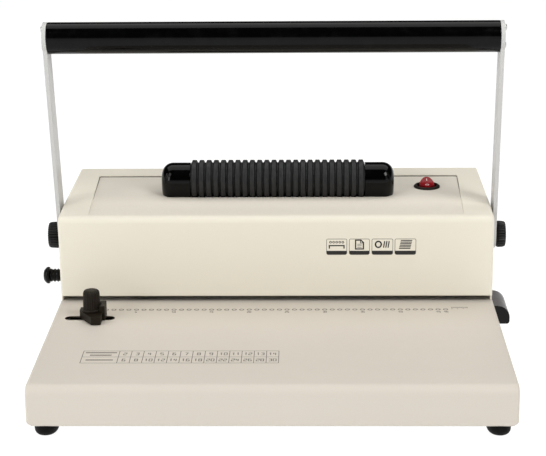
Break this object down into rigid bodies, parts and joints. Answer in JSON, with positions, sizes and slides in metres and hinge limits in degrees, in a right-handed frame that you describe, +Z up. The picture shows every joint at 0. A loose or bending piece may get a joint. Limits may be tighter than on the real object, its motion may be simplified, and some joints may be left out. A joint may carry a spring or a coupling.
{
  "type": "coil binding machine",
  "caption": "Desktop punch for a row of coil holes: sheet base with a paper table, housing over the dies, press lever with a bar grip, powered ribbed coil roller, edge guide and chip drawer.",
  "frame": {"origin": "on the surface it stands on, under the middle of the whole machine", "axes": "+X to the operator's right, +Y from the paper table to the rear cover, +Z up"},
  "size_m": [0.402, 0.348, 0.2779],
  "materials": {
    "cover_paint": "cream powder coat, satin",
    "arm_paint": "pale grey powder coat, satin",
    "grip_plastic": "black, semi-gloss",
    "cap_plastic": "black, glossy moulding",
    "knob_plastic": "black, satin moulding",
    "rocker_plastic": "clear red, glossy",
    "roller_rubber": "black rubber, dull",
    "foot_rubber": "black rubber, dull",
    "machined_steel": "ground steel, lightly oiled",
    "zinc_plate": "zinc plated sheet",
    "motor_case": "drawn steel can",
    "bearing_brass": "sintered bronze"
  },
  "bodies": {
    "machine": {"base_cover": "cover_paint", "base_plate": "zinc_plate", "foot_front_left": "foot_rubber", "foot_front_right": "foot_rubber", "foot_rear_left": "foot_rubber", "foot_rear_right": "foot_rubber", "housing_cover": "cover_paint", "rear_cover": "cover_paint", "power_inlet": "knob_plastic", "side_frame_left": "machined_steel", "side_frame_right": "machined_steel", "cross_beam": "machined_steel", "die_plate": "machined_steel", "stripper_plate": "machined_steel", "throat_spacer": "machined_steel", "guide_post_left": "machined_steel", "guide_post_right": "machined_steel", "return_spring_left": "machined_steel", "return_spring_right": "machined_steel", "bearing_left": "bearing_brass", "bearing_right": "bearing_brass", "drive_belt": "roller_rubber", "roller_frame": "zinc_plate", "roller_bearing_left": "bearing_brass", "roller_bearing_right": "bearing_brass", "roller_cap_left": "cap_plastic", "roller_cap_right": "cap_plastic", "motor": "motor_case", "switch_body": "cap_plastic", "drawer_rail_front": "zinc_plate", "drawer_rail_rear": "zinc_plate"},
    "press_lever": {"main_shaft": "machined_steel", "shaft_collar_left": "zinc_plate", "shaft_collar_right": "zinc_plate", "press_cam_left": "machined_steel", "press_cam_right": "machined_steel", "arm_left": "arm_paint", "arm_right": "arm_paint", "grip_tube": "grip_plastic", "grip_plug_left": "knob_plastic", "grip_plug_right": "knob_plastic", "grip_screw_left_upper": "zinc_plate", "grip_screw_left_lower": "zinc_plate", "grip_screw_right_upper": "zinc_plate", "grip_screw_right_lower": "zinc_plate"},
    "knob_left": {"hand_knob_left": "knob_plastic"},
    "knob_right": {"hand_knob_right": "knob_plastic"},
    "punch": {"punch_bar": "machined_steel"},
    "roller": {"coil_roller": "roller_rubber", "roller_shaft": "machined_steel", "roller_pulley": "knob_plastic"},
    "motor_rotor": {"motor_pulley": "knob_plastic"},
    "rocker": {"switch_rocker": "rocker_plastic"},
    "guide": {"guide_block": "knob_plastic", "guide_nut": "zinc_plate"},
    "guide_knob": {"clamp_knob": "knob_plastic"},
    "margin": {"margin_knob": "knob_plastic"},
    "gauge": {"back_gauge": "machined_steel"},
    "drawer": {"chip_drawer": "zinc_plate", "drawer_pull": "knob_plastic"}
  },
  "joints": [
    {"name": "lever_swing", "type": "hinge", "parent": "machine", "child": "press_lever", "pos_m": [0, 0.063, 0.0871], "axis": [1, 0, 0], "range_deg": [0, 85], "stiffness_Nm_per_rad": 1.5, "springref_deg": -17.19},
    {"name": "press_slide", "type": "slide", "parent": "machine", "child": "punch", "axis": [0, 0, -1], "range_m": [0, 0.01], "stiffness_N_per_m": 1200, "springref_m": -0.01, "deforming": ["return_spring_left", "return_spring_right"]},
    {"name": "knob_left_turn", "type": "hinge", "parent": "press_lever", "child": "knob_left", "pos_m": [-0.1945, 0.063, 0.0871], "axis": [1, 0, 0], "continuous": true},
    {"name": "knob_right_turn", "type": "hinge", "parent": "press_lever", "child": "knob_right", "pos_m": [0.1945, 0.063, 0.0871], "axis": [1, 0, 0], "continuous": true},
    {"name": "roller_spin", "type": "hinge", "parent": "machine", "child": "roller", "pos_m": [0, 0.093, 0.1287], "axis": [1, 0, 0], "continuous": true},
    {"name": "motor_spin", "type": "hinge", "parent": "machine", "child": "motor_rotor", "pos_m": [0.088, 0.093, 0.0717], "axis": [1, 0, 0], "continuous": true},
    {"name": "rocker_tilt", "type": "hinge", "parent": "machine", "child": "rocker", "pos_m": [0.1335, 0.1135, 0.1167], "axis": [1, 0, 0], "range_deg": [-22, 0]},
    {"name": "guide_slide", "type": "slide", "parent": "machine", "child": "guide", "axis": [1, 0, 0], "range_m": [-0.014, 0.01]},
    {"name": "clamp_turn", "type": "hinge", "parent": "guide", "child": "guide_knob", "pos_m": [-0.1523, -0.0225, 0.0517], "axis": [0, 0, 1], "range_deg": [0, 180]},
    {"name": "margin_turn", "type": "hinge", "parent": "machine", "child": "margin", "pos_m": [-0.19, 0.0392, 0.0579], "axis": [1, 0, 0], "range_deg": [0, 180]},
    {"name": "gauge_slide", "type": "slide", "parent": "machine", "child": "gauge", "axis": [0, 1, 0], "range_m": [0, 0.004]},
    {"name": "drawer_slide", "type": "slide", "parent": "machine", "child": "drawer", "axis": [1, 0, 0], "range_m": [0, 0.3]}
  ],
  "couplings": [
    {"joint": "lever_swing", "follows": "press_slide", "rad_per_m": 148.35},
    {"joint": "motor_spin", "follows": "roller_spin", "ratio": 1.5},
    {"joint": "margin_turn", "follows": "gauge_slide", "rad_per_m": 785.39}
  ]
}
